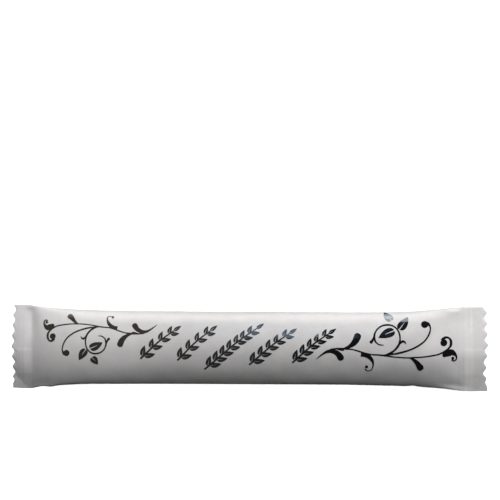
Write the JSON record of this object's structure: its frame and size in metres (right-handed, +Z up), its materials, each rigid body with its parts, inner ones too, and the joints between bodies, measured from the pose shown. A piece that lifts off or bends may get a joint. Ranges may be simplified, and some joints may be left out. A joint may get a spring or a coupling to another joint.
{
  "type": "sugar stick sachet",
  "caption": "Slim paper stick sachet of sugar with flat crimped end seals, pinked cut edges and a lapped back seam.",
  "frame": {"origin": "bottom centre of the bounding box, on the surface that the sachet lies on", "axes": "+X along the stick, +Y across it, +Z up out of the printed face"},
  "size_m": [0.12, 0.0212, 0.0065],
  "materials": {
    "printed_paper": "semi-gloss coated white paper with dark foil print"
  },
  "bodies": {
    "root": {"sachet": "printed_paper"}
  },
  "joints": []
}
